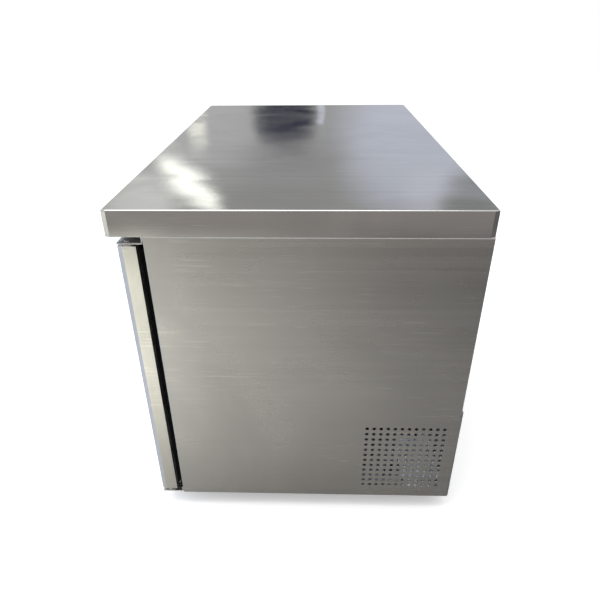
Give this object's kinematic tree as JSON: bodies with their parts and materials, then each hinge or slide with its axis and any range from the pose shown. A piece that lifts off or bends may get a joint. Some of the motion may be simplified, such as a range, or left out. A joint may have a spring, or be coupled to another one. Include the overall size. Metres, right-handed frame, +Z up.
{
  "type": "undercounter worktop freezer",
  "caption": "Stainless undercounter freezer with a fixed worktop, side-hung insulated front doors, a rear machine bay behind a punched vent, and levelling feet.",
  "frame": {"origin": "on the floor under the middle of the outline, doors' side to the front", "axes": "+Z up, -Y to the front where the doors are, +X towards the right-hand end seen from the front"},
  "size_m": [1.2, 0.705, 0.74],
  "materials": {
    "brushed_stainless": "brushed along the depth",
    "stainless_sheet": "satin sheet",
    "galvanised_sheet": "dull zinc spangle",
    "door_stainless": "fine brushed, upright grain",
    "polyurethane_foam": "rigid closed-cell foam",
    "worktop_board": "board faced with dark film",
    "gasket_rubber": "soft, dull black",
    "black_plastic": "fine texture",
    "bright_sheet": "bright, lightly scratched",
    "acetal_plastic": "smooth",
    "zinc_plated_steel": "bright zinc",
    "aluminium_fins": "thin bare fins",
    "copper_tube": "bare copper, lightly tarnished",
    "foil_sleeve": "crinkled foil over foam",
    "black_enamel": "semi-gloss enamel",
    "mount_rubber": "dull",
    "shelf_wire": "grey polymer coating on steel wire"
  },
  "bodies": {
    "cabinet": {"worktop": "brushed_stainless", "worktop_board": "worktop_board", "right_end_panel": "brushed_stainless", "left_end_panel": "brushed_stainless", "base_panel": "galvanised_sheet", "bay_bulkhead": "galvanised_sheet", "back_panel": "galvanised_sheet", "rear_cover": "galvanised_sheet", "cover_screws": "zinc_plated_steel", "cabinet_insulation": "polyurethane_foam", "inner_liner": "stainless_sheet", "face_frame": "stainless_sheet", "mullion": "stainless_sheet", "top_hinge_brackets": "zinc_plated_steel", "bottom_hinge_brackets": "zinc_plated_steel", "hinge_pins": "zinc_plated_steel", "hinge_screws": "zinc_plated_steel", "foot_sockets": "black_plastic", "shelf_pilasters": "stainless_sheet", "shelf_clips": "stainless_sheet", "evaporator_cover": "stainless_sheet", "evaporator_fins": "aluminium_fins", "evaporator_tubes": "copper_tube", "evaporator_fan_motor": "black_plastic", "thermostat_body": "black_plastic", "condenser_fins": "aluminium_fins", "condenser_tubes": "copper_tube", "condenser_shroud": "galvanised_sheet", "condenser_fan_motor": "black_enamel", "compressor": "black_enamel", "compressor_mounts": "mount_rubber", "compressor_terminal_cover": "black_plastic", "discharge_pipe": "copper_tube", "suction_pipe": "foil_sleeve", "filter_drier": "copper_tube", "liquid_pipes": "copper_tube", "condensate_pan": "bright_sheet", "drain_hose": "gasket_rubber", "cord_grommet": "gasket_rubber"},
    "right_door": {"right_door_skin": "door_stainless", "right_door_liner": "stainless_sheet", "right_door_insulation": "polyurethane_foam", "right_door_gasket": "gasket_rubber", "right_door_bushes": "acetal_plastic", "right_door_pull": "black_plastic"},
    "left_door": {"left_door_skin": "door_stainless", "left_door_liner": "stainless_sheet", "left_door_insulation": "polyurethane_foam", "left_door_gasket": "gasket_rubber", "left_door_bushes": "acetal_plastic", "left_door_pull": "black_plastic"},
    "right_shelf": {"right_shelf": "shelf_wire"},
    "left_shelf": {"left_shelf": "shelf_wire"},
    "condenser_fan": {"condenser_fan_rotor": "black_plastic"},
    "evaporator_fan": {"evaporator_fan_rotor": "black_plastic"},
    "thermostat_knob": {"thermostat_knob": "black_plastic"},
    "front_left_foot": {"front_left_levelling_foot": "zinc_plated_steel"},
    "front_right_foot": {"front_right_levelling_foot": "zinc_plated_steel"},
    "rear_left_foot": {"rear_left_levelling_foot": "zinc_plated_steel"},
    "rear_right_foot": {"rear_right_levelling_foot": "zinc_plated_steel"}
  },
  "joints": [
    {"name": "right_door_hinge", "type": "hinge", "parent": "cabinet", "child": "right_door", "pos_m": [0.587, -0.317, 0.36], "axis": [0, 0, 1], "range_deg": [0, 110]},
    {"name": "left_door_hinge", "type": "hinge", "parent": "cabinet", "child": "left_door", "pos_m": [-0.587, -0.317, 0.36], "axis": [0, 0, -1], "range_deg": [0, 110]},
    {"name": "right_shelf_lift", "type": "slide", "parent": "cabinet", "child": "right_shelf", "axis": [0, 0, 1], "range_m": [0, 0.025]},
    {"name": "left_shelf_lift", "type": "slide", "parent": "cabinet", "child": "left_shelf", "axis": [0, 0, 1], "range_m": [0, 0.025]},
    {"name": "condenser_fan_spin", "type": "hinge", "parent": "cabinet", "child": "condenser_fan", "pos_m": [0.311, 0.2645, 0.1605], "axis": [1, 0, 0], "continuous": true},
    {"name": "evaporator_fan_spin", "type": "hinge", "parent": "cabinet", "child": "evaporator_fan", "pos_m": [0.118, 0.1997, 0.493], "axis": [0, 1, 0], "continuous": true},
    {"name": "thermostat_turn", "type": "hinge", "parent": "cabinet", "child": "thermostat_knob", "pos_m": [-0.115, 0.17, 0.4438], "axis": [0, 1, 0], "range_deg": [0, 270]},
    {"name": "front_left_foot_screw", "type": "slide", "parent": "cabinet", "child": "front_left_foot", "axis": [0, 0, -1], "range_m": [0, 0.02]},
    {"name": "front_right_foot_screw", "type": "slide", "parent": "cabinet", "child": "front_right_foot", "axis": [0, 0, -1], "range_m": [0, 0.02]},
    {"name": "rear_left_foot_screw", "type": "slide", "parent": "cabinet", "child": "rear_left_foot", "axis": [0, 0, -1], "range_m": [0, 0.02]},
    {"name": "rear_right_foot_screw", "type": "slide", "parent": "cabinet", "child": "rear_right_foot", "axis": [0, 0, -1], "range_m": [0, 0.02]}
  ]
}
